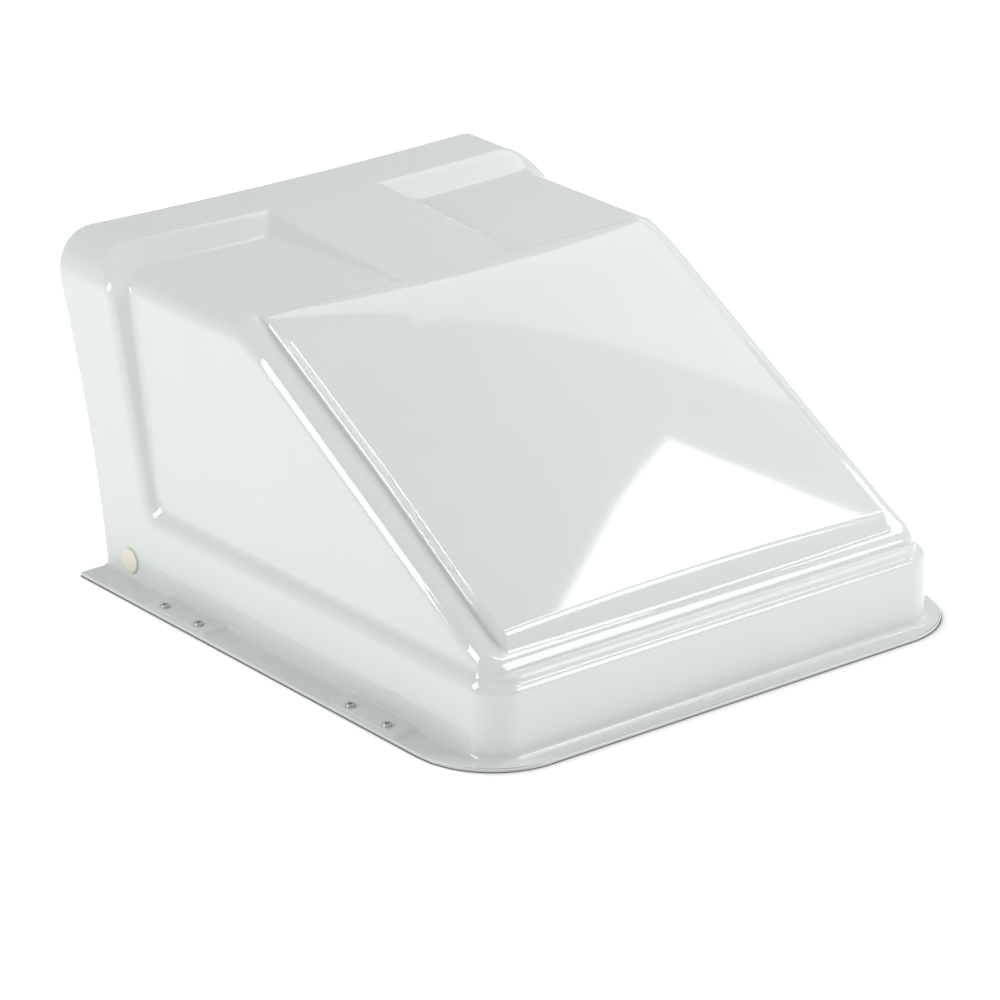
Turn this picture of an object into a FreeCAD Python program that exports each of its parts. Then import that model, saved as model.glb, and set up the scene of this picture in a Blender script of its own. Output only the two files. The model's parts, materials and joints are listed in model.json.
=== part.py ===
"""Roof vent cover for a 14 inch caravan roof vent: a moulded hood with a flange, four bracket feet and a
louvred insect-screen door in its rear mouth.

Frame: X across the hood, Y along it with the open mouth towards +Y, Z up from the roof. Millimetres.
The origin is on the roof plane, in the middle of the cover's length and width.
"""
import FreeCAD, Part
import Sketcher
import math
import os

from FreeCAD import Placement, Rotation, Vector

doc = FreeCAD.newDocument("RoofVentCover")

# ---------------------------------------------------------------- driving dimensions

DIMENSIONS = {
    # hood shell
    "skin": (3.0, "wall thickness of the moulding"),
    "wall_half": (218.5, "half width over the upright walls and the rear hoop"),
    "wall_front": (268.0, "front wall to origin"),
    "wall_top": (57.8, "top of the upright wall"),
    "wall_round": (28.0, "plan radius of the front wall corners"),
    "flange_half": (244.5, "half width over the flange"),
    "flange_front": (284.0, "front edge of the flange to origin"),
    "flange_round": (68.0, "plan radius of the front flange corners"),
    "flange_thick": (3.0, "flange thickness"),
    "panel_half": (208.0, "half width over the recessed side panels"),
    "panel_round": (16.0, "radius along the top and the sloping side edges"),
    "ledge_front": (262.5, "front of the second step"),
    "ledge_top": (65.0, "top of the second step"),
    "shoulder_front": (256.0, "front edge of the sloping shoulder"),
    "shoulder_low": (71.5, "height of the shoulder's front edge"),
    "slope_angle": (29.85, "slope of the front panel"),
    "slope_front": (244.0, "front edge of the sloping panel"),
    "slope_low": (91.4, "height of the sloping panel's front edge"),
    "slope_half": (179.5, "half width of the sloping panel"),
    "slope_foot": (248.5, "foot of the riser below the sloping panel"),
    "shoulder_drop": (12.0, "shoulder below the sloping panel, measured upright"),
    "crown_radius": (2000.0, "radius across the crowned sloping panel"),
    "crown_rise": (8.0, "crown above the flat slope at its top"),
    "crown_tilt": (0.75, "crown's tilt to the slope, which lets it die out at the front"),
    "floor_top": (248.0, "height of the two recessed roof panels"),
    "strip_half": (58.0, "half width of the raised strip between them"),
    "strip_front": (51.0, "where that strip rises out of the panels"),
    "strip_rear": (212.0, "where that strip meets the hoop"),
    "strip_top": (259.0, "height of the strip at the hoop"),
    # rear hoop
    "hoop_top": (261.0, "height of the rear hoop"),
    "hoop_round": (36.0, "radius of the hoop's top corners"),
    "hoop_foot_front": (150.0, "front edge of the hoop on the side wall's top"),
    "hoop_step_front": (204.0, "front edge of the hoop at the roof panels"),
    "hoop_step_low": (240.0, "height of that edge"),
    "hoop_riser_rear": (219.0, "top edge of the hoop's riser"),
    "mouth_foot": (216.0, "rear edge of the hood at the roof"),
    "mouth_mid": (240.0, "rear edge of the hood at mid height"),
    "mouth_mid_up": (125.0, "that mid height"),
    "mouth_top": (285.7, "rear edge of the hood at the top corners"),
    "mouth_bow": (10.0, "how far the top edge bows forward in its middle"),
    # bracket feet
    "foot_front": (-144.6, "middle of the front brackets along Y"),
    "foot_rear": (92.8, "middle of the rear brackets along Y"),
    "foot_long": (70.0, "bracket length"),
    "foot_outer": (240.0, "outer edge of a bracket's flat leg"),
    "foot_inner": (203.0, "inner face of a bracket's upright leg"),
    "foot_tall": (45.0, "height of a bracket"),
    "foot_thick": (2.5, "bracket plate thickness"),
    "foot_bend": (5.0, "outer bend radius of a bracket"),
    "screw_pitch": (44.45, "spacing of the two flange screws in a bracket"),
    "screw_row": (235.5, "flange screws to the centre plane"),
    "slot_pitch": (40.0, "spacing of the two slots in a bracket's upright leg"),
    "slot_up": (30.0, "height of those slots"),
    "slot_long": (14.0, "end to end length of a slot"),
    "slot_wide": (5.4, "width of a slot"),
    "pad_top": (5.5, "top of the raised flange pad over a bracket"),
    "pad_edge": (242.5, "outer edge of a pad"),
    # louvre door, in its own upright frame with the pivot at the origin
    "pivot_back": (185.0, "pivot axis along Y"),
    "pivot_up": (17.0, "pivot axis above the roof"),
    "door_lean": (14.5, "closed door leans back by this angle"),
    "door_half": (212.5, "half width of the door"),
    "door_low": (-11.0, "bottom edge of the door"),
    "door_high": (242.0, "top edge of the door"),
    "door_round": (30.0, "radius of the door's top corners"),
    "door_deep": (16.0, "door frame thickness"),
    "bay_half": (196.5, "half width of the louvred opening"),
    "bay_low": (9.0, "bottom of the louvred opening"),
    "bay_high": (208.0, "top of the louvred opening"),
    "rebate": (6.5, "seat round the opening for the screen"),
    "rebate_deep": (2.6, "depth of that seat"),
    "mesh_thick": (0.8, "thickness of the insect screen"),
    "mullion_wide": (4.0, "thickness of an upright louvre rib"),
    "mullion_at": (65.5, "upright louvre ribs to the centre plane"),
    "blade_count": (13, "louvre blades"),
    "blade_pitch": (15.0, "louvre spacing"),
    "blade_thick": (2.0, "louvre thickness"),
    "blade_fall": (9.0, "how far a louvre drops towards the outside"),
    "pivot_radius": (4.0, "radius of the pivot shafts and latch shafts"),
    "running_gap": (0.05, "radial clearance round a shaft"),
    "button_radius": (10.0, "radius of the pivot button's head"),
    "button_thick": (2.0, "thickness of that head"),
    "ring_radius": (5.9, "radius of the push-on ring on a pivot shaft"),
    "stop_deep": (14.0, "depth of the door stop rib inside the hood"),
    "stop_thick": (3.0, "thickness of that rib"),
    "latch_at": (110.0, "latches to the centre plane"),
    "latch_up": (226.0, "latch axis above the pivot"),
    "knob_radius": (12.0, "latch knob radius"),
    "tongue_reach": (15.0, "latch tongue beyond its axis"),
    "tongue_half": (5.0, "half width of a latch tongue"),
    "tongue_thick": (2.5, "thickness of a latch tongue"),
    "tongue_gap": (0.4, "gap between a closed tongue and the stop rib"),
    "cap_thick": (2.5, "thickness of a latch knob's disc"),
    "grip_half_long": (10.5, "half length of a knob's grip bar"),
    "grip_half_wide": (2.2, "half width of that bar"),
    "grip_out": (6.8, "top of that bar above the door's face"),
    "wave_radius": (6.5, "radius of the wave washer on a latch shaft"),
    # clearances and small hardware
    "fit_gap": (0.3, "clearance beside parts that drop into a seat"),
    "pad_margin": (4.0, "pad beyond the bracket at each end"),
    "pad_hole": (2.7, "radius of the screw holes through the pads"),
    "tap_radius": (2.5, "radius of the brackets' tapped holes"),
    "screw_radius": (2.45, "flange screw shank radius"),
    "screw_head": (4.0, "flange screw head radius"),
    "screw_head_thick": (2.2, "flange screw head thickness"),
    "rest_gap": (0.5, "gap between the closed door and its stop rib"),
    "stop_low": (22.0, "lower ends of the stop rib above the pivot"),
    "stop_sunk": (1.5, "how far the stop rib reaches into the hood's skin"),
    "stop_over": (4.5, "hood's inner top above the door's top edge"),
    "button_round": (0.9, "edge radius of a pivot button"),
    "washer_radius": (8.0, "radius of the pivot washers"),
    "ring_thick": (1.2, "thickness of the push-on rings"),
    "pocket_deep": (8.0, "depth of the pocket round a push-on ring"),
    "pocket_gap": (0.7, "clearance round a ring in its pocket"),
    "blade_first": (2.5, "lowest louvre above the opening's edge"),
    "retainer_first": (12.0, "lowest side screw above the opening's edge"),
    "retainer_pitch": (58.0, "spacing of the side screws"),
    "retainer_column": (130.0, "outer screws of the top and bottom rows to the centre plane"),
    "retainer_lap": (3.0, "how far the screen's frame covers the opening"),
    "tapper_radius": (1.25, "radius of the screws that hold the screen's frame"),
    "tapper_long": (9.0, "their length under the head"),
    "tapper_head": (2.6, "their head radius"),
    "tapper_head_thick": (1.4, "their head thickness"),
    "m3_radius": (1.5, "latch screw shank radius"),
    "m3_long": (9.5, "latch screw length under the head"),
    "m3_head": (2.9, "latch screw head radius"),
    "m3_head_thick": (1.8, "latch screw head thickness"),
}

dims = doc.addObject("Spreadsheet::Sheet", "Dims")
for row, (alias, (number, note)) in enumerate(DIMENSIONS.items(), start=1):
    dims.set(f"A{row}", note)
    dims.set(f"B{row}", str(number))
    dims.setAlias(f"B{row}", alias)
sums = doc.addObject("Spreadsheet::Sheet", "Sums")
doc.recompute()


def size(alias):
    """A driving dimension as a plain number."""
    return float(getattr(dims, alias))


def amount(expression):
    """The value of a spreadsheet expression, such as "Dims.skin * 2", worked out in a cell of its own."""
    sums.set("A1", "=" + expression)
    sums.recompute()
    result = sums.get("A1")
    return float(getattr(result, "Value", result))


# ---------------------------------------------------------------- helpers

PLANES = {
    "XY": Rotation(),
    "XZ": Rotation(Vector(1, 0, 0), 90),
    "YZ": Rotation(Vector(1, 1, 1), 120),
}
NORMALS = {"XY": Vector(0, 0, 1), "XZ": Vector(0, -1, 0), "YZ": Vector(1, 0, 0)}
HINGE_LINE = Placement(
    Vector(0, size("pivot_back"), size("pivot_up")),
    Rotation(Vector(1, 0, 0), -size("door_lean")),
)


def outline(sketch, corners):
    """Draw a closed outline in a sketch and tie every corner to the spreadsheet.

    corners: (x expression, y expression) pairs; a third entry is the (x, y) expression pair of a point that
    the side to the next corner passes through, which makes that side an arc.
    """
    where = [Vector(amount(c[0]), amount(c[1]), 0) for c in corners]
    for index, corner in enumerate(corners):
        start, end = where[index], where[(index + 1) % len(corners)]
        if len(corner) == 3:
            through = Vector(amount(corner[2][0]), amount(corner[2][1]), 0)
            sketch.addGeometry(Part.Arc(start, through, end), False)
        else:
            sketch.addGeometry(Part.LineSegment(start, end), False)
    # an arc drawn clockwise keeps its start as point 2
    ends = []
    for index in range(len(corners)):
        curve = sketch.Geometry[index]
        forward = curve.StartPoint.distanceToPoint(where[index]) < 1e-6
        ends.append((1, 2) if forward else (2, 1))
    for index in range(len(corners)):
        after = (index + 1) % len(corners)
        sketch.addConstraint(
            Sketcher.Constraint("Coincident", index, ends[index][1], after, ends[after][0])
        )
    for index, corner in enumerate(corners):
        point = (index, ends[index][0])
        for kind, expression, number in (
            ("DistanceX", corner[0], where[index].x),
            ("DistanceY", corner[1], where[index].y),
        ):
            tie = sketch.addConstraint(Sketcher.Constraint(kind, -1, 1, *point, number))
            sketch.setExpression(f"Constraints[{tie}]", expression)
        if len(corner) == 3:
            sketch.addConstraint(
                Sketcher.Constraint("Radius", index, sketch.Geometry[index].Radius)
            )
    return sketch


def prism(name, plane, corners, forward, backward="0"):
    """A solid from an outline drawn in one of the base planes, extruded both ways along its normal."""
    sketch = doc.addObject("Sketcher::SketchObject", name + "_outline")
    sketch.Placement = Placement(Vector(), PLANES[plane])
    outline(sketch, corners)
    solid = doc.addObject("Part::Extrusion", name)
    solid.Base = sketch
    solid.DirMode = "Custom"
    solid.Dir = NORMALS[plane]
    solid.Solid = True
    solid.setExpression("LengthFwd", forward)
    solid.setExpression("LengthRev", backward)
    return solid


def block(name, low, high):
    """A Part::Box between two corners given as expressions."""
    box = doc.addObject("Part::Box", name)
    for axis, side, start, end in zip("xyz", ("Length", "Width", "Height"), low, high):
        box.setExpression(side, f"({end}) - ({start})")
        box.setExpression(f"Placement.Base.{axis}", start)
    return box


def rod(name, radius, length, base, turn=None):
    """A Part::Cylinder; base is (x, y, z) expressions and turn the rotation of its axis away from +Z."""
    cylinder = doc.addObject("Part::Cylinder", name)
    cylinder.Placement = Placement(Vector(), turn or Rotation())
    cylinder.setExpression("Radius", radius)
    cylinder.setExpression("Height", length)
    for axis, start in zip("xyz", base):
        cylinder.setExpression(f"Placement.Base.{axis}", start)
    return cylinder


def combine(kind, name, pieces):
    """A Part::MultiFuse or Part::MultiCommon of several objects."""
    result = doc.addObject(f"Part::{kind}", name)
    result.Shapes = pieces
    result.Refine = True
    return result


def cut(name, base, tool):
    result = doc.addObject("Part::Cut", name)
    result.Base = base
    result.Tool = tool
    result.Refine = True
    return result


def rounded(name, base, radius, chosen):
    """Round the edges of base for which chosen(edge) is true."""
    doc.recompute()
    picked = [i for i, edge in enumerate(base.Shape.Edges, start=1) if chosen(edge)]
    if not picked:
        raise ValueError(f"{name}: no edge to round")
    fillet = doc.addObject("Part::Fillet", name)
    fillet.Base = base
    fillet.Edges = [(i, amount(radius), amount(radius)) for i in picked]
    return fillet


def runs_along(edge, direction):
    """True for a straight edge parallel to direction."""
    if len(edge.Vertexes) != 2 or edge.Curve.TypeId != "Part::GeomLine":
        return False
    line = edge.Vertexes[1].Point - edge.Vertexes[0].Point
    return line.cross(direction).Length < 1e-6 * line.Length


AXIS_X, AXIS_Y, AXIS_Z = Vector(1, 0, 0), Vector(0, 1, 0), Vector(0, 0, 1)
ALONG_X = Rotation(AXIS_Y, 90)
ALONG_Y = Rotation(AXIS_X, -90)
SIDES = {"left": "-1", "right": "1"}
PAST = "25"  # how far cutting tools run past the faces they cut
finished = {}


def finish(node, solid, placement=None):
    """Give a finished piece its node name and its place."""
    solid.Label = node
    if placement is not None:
        solid.Placement = placement.multiply(solid.Placement)
    finished[node] = solid
    return solid


# ---------------------------------------------------------------- hood shell

SLOPE = "tan(Dims.slope_angle * 1deg)"
BEYOND = "300"  # past any end of the cover
CROWN_TRIM = "0.6"  # how far the crown may stand over the roof panels
CROWN_REAR = "4"  # how far the crown runs on behind the strip's front


def slope_height(y, drop="0"):
    """Expression for the height of the sloping panel's plane at y, less a drop."""
    return f"Dims.slope_low + (({y}) + Dims.slope_front) * {SLOPE} - ({drop})"


def slope_reach(z, drop="0"):
    """Expression for the y at which that plane reaches the height z."""
    return f"(({z}) + ({drop}) - Dims.slope_low) / {SLOPE} - Dims.slope_front"


def hood_form(tag, inset):
    """The hood as a filled solid, every face moved inwards by inset; the cavity runs out of its openings."""
    inside = inset != "0"
    low = "-10" if inside else "0"
    side = f"Dims.wall_half - {inset}"
    front = f"-(Dims.wall_front - {inset})"
    rear = BEYOND if inside else "Dims.mouth_foot"
    across = f"{inset} / cos(Dims.slope_angle * 1deg)"

    wall = block(tag + "_wall", (f"-({side})", front, low), (side, rear, f"Dims.wall_top - {inset}"))
    wall_y = amount(front)
    wall = rounded(
        tag + "_wall_rounded", wall, f"Dims.wall_round - {inset}",
        lambda edge: runs_along(edge, AXIS_Z) and abs(edge.Vertexes[0].Y - wall_y) < 0.01,
    )

    roof = f"Dims.floor_top - {inset}"
    shoulder_drop = f"Dims.shoulder_drop + {across}"
    crest = slope_reach(roof, shoulder_drop)
    shoulder_y = f"-(Dims.shoulder_front - {inset})"
    body = prism(
        tag + "_body", "YZ",
        [
            (f"-(Dims.ledge_front - {inset})", low),
            (f"-(Dims.ledge_front - {inset})", f"Dims.ledge_top - {inset}"),
            (shoulder_y, f"Dims.ledge_top - {inset}"),
            (shoulder_y, slope_height(shoulder_y, shoulder_drop)),
            (crest, roof),
            (rear, roof),
            (rear, low),
        ],
        f"Dims.panel_half - {inset}", f"Dims.panel_half - {inset}",
    )
    lowest = amount("Dims.ledge_top")
    panel_x = amount(f"Dims.panel_half - {inset}")
    body = rounded(
        tag + "_body_rounded", body, f"Dims.panel_round - {inset}",
        lambda edge: abs(edge.CenterOfMass.x) > panel_x - 0.01
        and edge.CenterOfMass.z > lowest + 5
        and not runs_along(edge, AXIS_Z),
    )

    panel_rear = slope_reach(roof, across)
    panel = [
        (f"-(Dims.slope_foot - {inset})", low),
        (f"-(Dims.slope_foot - {inset})", slope_height(f"-(Dims.slope_foot - {inset})", shoulder_drop)),
        (f"-(Dims.slope_front - {inset})", slope_height(f"-(Dims.slope_front - {inset})", across)),
        (panel_rear, roof),
        ("Dims.hoop_foot_front", roof),
        ("Dims.hoop_foot_front", low),
    ]
    slope_side = f"Dims.slope_half - {inset}"
    slope = prism(tag + "_slope", "YZ", panel, slope_side, slope_side)
    crown_over = f"{roof} + {CROWN_TRIM}"
    raised = [
        (f"-(Dims.slope_front - {inset})", "Dims.wall_top"),
        (f"-(Dims.slope_front - {inset})", f"Dims.slope_low + Dims.crown_rise * 2 - {inset}"),
        (slope_reach(crown_over, "Dims.crown_rise * -2"), crown_over),
        (f"Dims.strip_front + {CROWN_REAR}", crown_over),
        (f"Dims.strip_front + {CROWN_REAR}", "Dims.wall_top"),
    ]
    crown_space = prism(tag + "_crown_space", "YZ", raised, slope_side, slope_side)
    crown = rod(
        tag + "_crown_drum", f"Dims.crown_radius - {inset}", f"{BEYOND} * 3",
        ("0", "0", "0"), Rotation(AXIS_X, -(90 - size("slope_angle") - size("crown_tilt"))),
    )
    crown_top = Vector(0, amount(slope_reach("Dims.floor_top")), size("floor_top") + size("crown_rise"))
    along = crown.Placement.Rotation.multVec(AXIS_Z)
    upright = Vector(0, -along.z, along.y)
    crown.setExpression("Placement.Base.y", None)
    crown.setExpression("Placement.Base.z", None)
    crown.Placement.Base = crown_top - upright * size("crown_radius") - along * float(BEYOND) * 2
    crown = combine("MultiCommon", tag + "_crown", [crown_space, crown])

    strip = prism(
        tag + "_strip", "YZ",
        [
            ("Dims.strip_front", "Dims.wall_top"),
            ("Dims.strip_front", roof),
            ("Dims.strip_rear", f"Dims.strip_top - {inset}"),
            ("Dims.strip_rear", "Dims.wall_top"),
        ],
        f"Dims.strip_half - {inset}", f"Dims.strip_half - {inset}",
    )
    return combine("MultiFuse", tag + "_form", [wall, body, slope, crown, strip, hoop(tag, inset, low)])


def hoop(tag, inset, low):
    """The proud rib round the rear mouth."""
    inside = inset != "0"
    side = f"Dims.wall_half - {inset}"
    top = f"Dims.hoop_top - {inset}"
    arch = block(tag + "_arch", (f"-({side})", "Dims.strip_front", low), (side, BEYOND, top))
    arch_top = amount(top)
    arch = rounded(
        tag + "_arch_rounded", arch, f"Dims.hoop_round - {inset}",
        lambda edge: runs_along(edge, AXIS_Y) and abs(edge.Vertexes[0].Z - arch_top) < 0.01,
    )
    if inside:
        rear = [(BEYOND, top), (BEYOND, low)]
    else:
        rear = [
            ("Dims.mouth_top", top, ("Dims.mouth_mid", "Dims.mouth_mid_up")),
            ("Dims.mouth_foot", low),
        ]
    side_view = prism(
        tag + "_side_view", "YZ",
        [
            (f"Dims.hoop_foot_front + {inset}", low),
            (f"Dims.hoop_foot_front + {inset}", "Dims.wall_top"),
            (f"Dims.hoop_step_front + {inset}", f"Dims.hoop_step_low"),
            (f"Dims.hoop_step_front + {inset}", f"Dims.floor_top - {inset}"),
            (f"Dims.hoop_riser_rear + {inset}", top),
        ] + rear,
        BEYOND, BEYOND,
    )
    rib = combine("MultiCommon", tag + "_hoop", [arch, side_view])
    if inside:
        return rib
    bow_radius = "((Dims.wall_half ^ 2 + Dims.mouth_bow ^ 2) / (2 * Dims.mouth_bow))"
    bow = rod(
        tag + "_bow", bow_radius, BEYOND,
        ("0", f"Dims.mouth_top - Dims.mouth_bow + {bow_radius}", "0"),
    )
    return cut(tag + "_hoop_bowed", rib, bow)


def flange():
    """The flat skirt round the foot of the walls, with a raised pad over each bracket."""
    plate = block(
        "flange_plate",
        ("-Dims.flange_half", "-Dims.flange_front", "0"),
        ("Dims.flange_half", "Dims.mouth_foot", "Dims.flange_thick"),
    )
    plate = rounded(
        "flange_rounded", plate, "Dims.flange_round",
        lambda edge: runs_along(edge, AXIS_Z) and edge.Vertexes[0].Y < 0,
    )
    pads = []
    for side, sign in SIDES.items():
        for place in ("front", "rear"):
            middle, half = f"Dims.foot_{place}", "Dims.foot_long / 2 + Dims.pad_margin"
            edges = sorted(
                (f"{sign} * (Dims.wall_half - Dims.skin / 3)", f"{sign} * Dims.pad_edge"), key=amount
            )
            pads.append(block(
                f"pad_{place}_{side}",
                (edges[0], f"{middle} - ({half})", "0"),
                (edges[1], f"{middle} + {half}", "Dims.pad_top"),
            ))
    return combine("MultiFuse", "flange", [plate] + pads)


def flange_screw_places():
    """Expressions (x, y) of the eight flange screws."""
    return [
        (f"{sign} * Dims.screw_row", f"Dims.foot_{place} + {end} * Dims.screw_pitch / 2")
        for sign in SIDES.values()
        for place in ("front", "rear")
        for end in ("-1", "1")
    ]


def hood_cutters():
    """Nests for the brackets, screw holes through the pads and holes for the pivot buttons."""
    tools = []
    for side, sign in SIDES.items():
        for place in ("front", "rear"):
            middle, half = f"Dims.foot_{place}", "Dims.foot_long / 2 + Dims.fit_gap"
            edges = sorted(
                (f"{sign} * (Dims.foot_inner - Dims.skin)", f"{sign} * (Dims.foot_outer + Dims.fit_gap)"),
                key=amount,
            )
            tools.append(block(
                f"nest_{place}_{side}",
                (edges[0], f"{middle} - ({half})", f"-{PAST}"),
                (edges[1], f"{middle} + {half}", "Dims.foot_thick"),
            ))
    for number, (x, y) in enumerate(flange_screw_places()):
        tools.append(rod(f"pad_hole_{number}", "Dims.pad_hole", f"{PAST} * 2", (x, y, f"-{PAST}")))
    tools.append(rod(
        "pivot_holes", "Dims.pivot_radius + Dims.running_gap", f"{BEYOND} * 2",
        (f"-{BEYOND}", "Dims.pivot_back", "Dims.pivot_up"), ALONG_X,
    ))
    return combine("MultiFuse", "hood_cutters", tools)


def door_stop():
    """The rib inside the mouth that the closed door rests against, in the door's upright frame."""
    rear = "Dims.door_deep / 2 + Dims.rest_gap"
    arches = []
    for name, grow, margin in (("outer", "Dims.stop_sunk", "0"), ("inner", "Dims.skin - Dims.stop_deep", PAST)):
        half = f"Dims.wall_half - Dims.skin + {grow}"
        top = f"Dims.door_high + Dims.stop_over + {grow}"
        arch = block(
            f"stop_{name}",
            (f"-({half})", f"-({rear} + Dims.stop_thick + {margin})", f"Dims.stop_low - {margin}"),
            (half, f"-({rear} - {margin})", top),
        )
        arch_top = amount(top)
        arches.append(rounded(
            f"stop_{name}_rounded", arch, f"Dims.hoop_round - Dims.skin + {grow}",
            lambda edge: runs_along(edge, AXIS_Y) and abs(edge.Vertexes[0].Z - arch_top) < 0.01,
        ))
    rib = cut("door_stop", *arches)
    rib.Placement = HINGE_LINE
    return rib


def hood_shell():
    outside = combine("MultiFuse", "hood_outside", [hood_form("outer", "0"), flange()])
    hollow = cut("hood_hollow", outside, hood_form("inner", "Dims.skin"))
    drilled = cut("hood_drilled", hollow, hood_cutters())
    return finish("hood_shell", combine("MultiFuse", "hood_shell_solid", [drilled, door_stop()]))


# ---------------------------------------------------------------- bracket feet

def bracket(place, side):
    """An L-shaped plate nested under the flange, with two tapped holes and two slots."""
    sign = SIDES[side]
    name = f"bracket_{place}_{side}"
    body = doc.addObject("PartDesign::Body", name)
    xz_plane = next(f for f in body.Origin.OriginFeatures if f.Role == "XZ_Plane")
    sketch = body.newObject("Sketcher::SketchObject", name + "_section")
    sketch.AttachmentSupport = (xz_plane, [""])
    sketch.MapMode = "FlatFace"
    outline(sketch, [
        (f"{sign} * Dims.foot_outer", "0"),
        (f"{sign} * Dims.foot_inner", "0"),
        (f"{sign} * Dims.foot_inner", "Dims.foot_tall"),
        (f"{sign} * (Dims.foot_inner + Dims.foot_thick)", "Dims.foot_tall"),
        (f"{sign} * (Dims.foot_inner + Dims.foot_thick)", "Dims.foot_thick"),
        (f"{sign} * Dims.foot_outer", "Dims.foot_thick"),
    ])
    pad = body.newObject("PartDesign::Pad", name + "_plate")
    pad.Profile = sketch
    pad.Midplane = True
    pad.setExpression("Length", "Dims.foot_long")
    doc.recompute()

    def bend(plate, x, z):
        """Name of the edge of plate that runs along Y at (x, z)."""
        return next(
            f"Edge{i}" for i, edge in enumerate(plate.Shape.Edges, start=1)
            if runs_along(edge, AXIS_Y)
            and abs(edge.Vertexes[0].X - amount(x)) < 0.01 and abs(edge.Vertexes[0].Z - amount(z)) < 0.01
        )

    outer = body.newObject("PartDesign::Fillet", name + "_outer_bend")
    outer.Base = (pad, [bend(pad, f"{sign} * Dims.foot_inner", "0")])
    outer.setExpression("Radius", "Dims.foot_bend")
    doc.recompute()
    inner = body.newObject("PartDesign::Fillet", name + "_inner_bend")
    inner.Base = (outer, [bend(outer, f"{sign} * (Dims.foot_inner + Dims.foot_thick)", "Dims.foot_thick")])
    inner.setExpression("Radius", "Dims.foot_bend - Dims.foot_thick")
    body.Tip = inner
    doc.recompute()

    tools = []
    for end in ("-1", "1"):
        tools.append(rod(
            f"{name}_tapped{end}", "Dims.tap_radius", f"{PAST} * 2",
            (f"{sign} * Dims.screw_row", f"{end} * Dims.screw_pitch / 2", f"-{PAST}"),
        ))
        reach = "(Dims.slot_long - Dims.slot_wide) / 2"
        middle = f"{end} * Dims.slot_pitch / 2"
        start = f"{sign} * Dims.foot_inner - {PAST}"
        for tip in ("-1", "1"):
            tools.append(rod(
                f"{name}_slot{end}{tip}", "Dims.slot_wide / 2", f"{PAST} * 2",
                (start, f"{middle} + {tip} * {reach}", "Dims.slot_up"), ALONG_X,
            ))
        tools.append(block(
            f"{name}_slot{end}",
            (start, f"{middle} - {reach}", "Dims.slot_up - Dims.slot_wide / 2"),
            (f"{start} + {PAST} * 2", f"{middle} + {reach}", "Dims.slot_up + Dims.slot_wide / 2"),
        ))
    plate = cut(name + "_drilled", body, combine("MultiFuse", name + "_tools", tools))
    finish(name, plate, Placement(Vector(0, amount(f"Dims.foot_{place}"), 0), Rotation()))


HEAD_ROUND = "0.6"  # a pan head's edge radius over its thickness
CROSS_REACH = "0.55"  # a cross recess's reach over the head's radius
CROSS_DEEP = "0.55"  # its depth over the head's thickness
CROSS_HALF = "0.45"  # half the width of its slots


def pan_screw(name, shank, length, head, head_thick, base, turn=None, slots=True):
    """A pan-head screw standing on its tip; its shank starts at base and its head ends at the top."""
    shaft = rod(name + "_shank", shank, length, ("0", "0", "0"))
    cap = rod(name + "_head", head, head_thick, ("0", "0", length))
    doc.recompute()
    top = amount(length) + amount(head_thick)
    cap = rounded(
        name + "_head_rounded", cap, f"({head_thick}) * {HEAD_ROUND}",
        lambda edge: edge.Closed and abs(edge.CenterOfMass.z - top) < 0.01,
    )
    screw = combine("MultiFuse", name + "_blank", [shaft, cap])
    if slots:
        reach = f"{head} * {CROSS_REACH}"
        recess = [
            block(
                f"{name}_recess{n}",
                (f"-({long})", f"-({wide})", f"{length} + {head_thick} * (1 - {CROSS_DEEP})"),
                (long, wide, f"{length} + {head_thick} + 1"),
            )
            for n, (long, wide) in enumerate(((reach, CROSS_HALF), (CROSS_HALF, reach)))
        ]
        screw = cut(name + "_crossed", screw, combine("MultiFuse", name + "_cross", recess))
    screw.Placement = Placement(Vector(*[amount(b) for b in base]), turn or Rotation())
    return screw


def flange_screws():
    """Eight screws through the flange pads into the brackets' tapped holes."""
    screws = [
        pan_screw(
            f"flange_screw_{n}", "Dims.screw_radius", "Dims.pad_top - Dims.fit_gap",
            "Dims.screw_head", "Dims.screw_head_thick", (x, y, "Dims.fit_gap"),
        )
        for n, (x, y) in enumerate(flange_screw_places())
    ]
    group = doc.addObject("Part::Compound", "flange_screw_group")
    group.Links = screws
    finish("flange_screws", group)


# ---------------------------------------------------------------- pivots

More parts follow.
